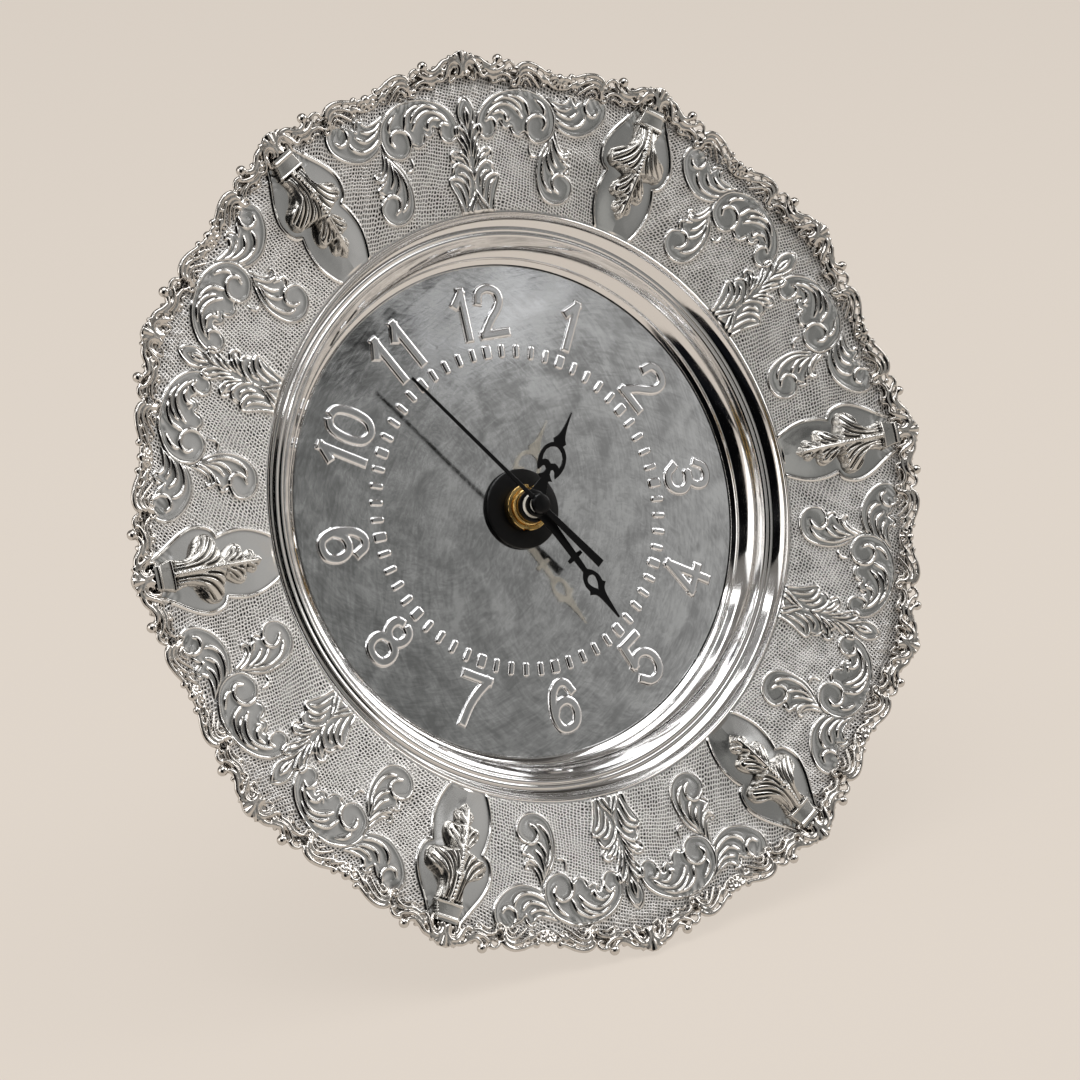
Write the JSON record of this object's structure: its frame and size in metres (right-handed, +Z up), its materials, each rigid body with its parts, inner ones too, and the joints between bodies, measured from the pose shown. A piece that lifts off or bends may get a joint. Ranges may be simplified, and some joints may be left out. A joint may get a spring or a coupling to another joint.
{
  "type": "table clock",
  "caption": "Round table clock: a chased silver-plated dish with a scroll rim, raised-number dial and quartz movement, leaning on a folding wire strut.",
  "frame": {"origin": "on the table, under the middle of the object's box", "axes": "+Z up, -Y towards the viewer, +X to the viewer's right"},
  "size_m": [0.1962, 0.1068, 0.1801],
  "materials": {
    "silver_dish": "silver-plated brass sheet, polished mouldings and matted border",
    "silver_rim": "silver-plated casting, polished high points and darkened hollows",
    "silver_leaf": "silver-plated casting, polished, brown tarnish in the hollows",
    "dial_metal": "polished metal with hand-rubbed swirls",
    "hand_black": "black lacquer on thin pressed sheet",
    "rubber_black": "matt moulded rubber",
    "brass": "turned brass",
    "case_plastic": "moulded ABS",
    "gear_plastic": "moulded acetal",
    "magnet": "sintered magnet on a moulded pinion",
    "stator_steel": "stamped sheet",
    "copper_wire": "enamelled copper winding",
    "circuit": "green laminate with a black potting blob",
    "cell_jacket": "plain printed film on a metal can",
    "contact_metal": "nickel-plated spring sheet",
    "strut_steel": "nickel-plated steel"
  },
  "bodies": {
    "clock": {"dish": "silver_dish", "dial": "dial_metal", "rim_section_1": "silver_rim", "rim_section_2": "silver_rim", "rim_section_3": "silver_rim", "rim_section_4": "silver_rim", "rim_section_5": "silver_rim", "rim_section_6": "silver_rim", "leaf_mount_1": "silver_leaf", "leaf_mount_2": "silver_leaf", "leaf_mount_3": "silver_leaf", "leaf_mount_4": "silver_leaf", "leaf_mount_5": "silver_leaf", "leaf_mount_6": "silver_leaf", "rubber_washer": "rubber_black", "slotted_nut": "brass", "threaded_bushing": "brass", "movement_tray": "case_plastic", "movement_cover": "case_plastic", "stator": "stator_steel", "coil": "copper_wire", "circuit_board": "circuit", "plus_contact": "contact_metal", "minus_contact": "contact_metal", "strut_bracket": "strut_steel"},
    "seconds": {"second_wheel": "gear_plastic", "second_hand": "hand_black"},
    "minutes": {"centre_wheel": "gear_plastic", "minute_hand": "hand_black"},
    "hours": {"hour_wheel": "gear_plastic", "hour_hand": "hand_black"},
    "third": {"third_wheel": "gear_plastic"},
    "intermediate": {"intermediate_wheel": "gear_plastic"},
    "rotor": {"rotor": "magnet"},
    "setting": {"motion_wheel": "gear_plastic", "setting_knob": "case_plastic"},
    "strut": {"wire_strut": "strut_steel"},
    "cell": {"battery": "cell_jacket"}
  },
  "joints": [
    {"name": "second_spin", "type": "hinge", "parent": "clock", "child": "seconds", "pos_m": [0, 0.00134, 0.08344], "axis": [0, 0.9184, -0.3955], "continuous": true},
    {"name": "minute_spin", "type": "hinge", "parent": "clock", "child": "minutes", "pos_m": [0, 0.00134, 0.08344], "axis": [0, 0.9184, -0.3955], "continuous": true},
    {"name": "hour_spin", "type": "hinge", "parent": "clock", "child": "hours", "pos_m": [0, 0.00134, 0.08344], "axis": [0, 0.9184, -0.3955], "continuous": true},
    {"name": "third_spin", "type": "hinge", "parent": "clock", "child": "third", "pos_m": [0.0094, 0.0027, 0.08658], "axis": [0, 0.9184, -0.3955], "continuous": true},
    {"name": "intermediate_spin", "type": "hinge", "parent": "clock", "child": "intermediate", "pos_m": [-0.00338, 0.00501, 0.09196], "axis": [0, 0.9184, -0.3955], "continuous": true},
    {"name": "rotor_spin", "type": "hinge", "parent": "clock", "child": "rotor", "pos_m": [-0.00338, 0.008, 0.0989], "axis": [0, 0.9184, -0.3955], "continuous": true},
    {"name": "setting_spin", "type": "hinge", "parent": "clock", "child": "setting", "pos_m": [-0.0104, 0.00134, 0.08344], "axis": [0, 0.9184, -0.3955], "continuous": true},
    {"name": "strut_fold", "type": "hinge", "parent": "clock", "child": "strut", "pos_m": [0, 0.02372, 0.11517], "axis": [1, 0, 0], "range_deg": [-35, 0]},
    {"name": "battery_slide", "type": "slide", "parent": "clock", "child": "cell", "axis": [0, 0.9184, -0.3955], "range_m": [0, 0.02]}
  ],
  "couplings": [
    {"joint": "second_spin", "follows": "minute_spin", "ratio": 60},
    {"joint": "hour_spin", "follows": "minute_spin", "ratio": 0.083333},
    {"joint": "third_spin", "follows": "minute_spin", "ratio": -7.5},
    {"joint": "intermediate_spin", "follows": "minute_spin", "ratio": -360},
    {"joint": "rotor_spin", "follows": "minute_spin", "ratio": 1800},
    {"joint": "setting_spin", "follows": "minute_spin", "ratio": -0.33333}
  ]
}
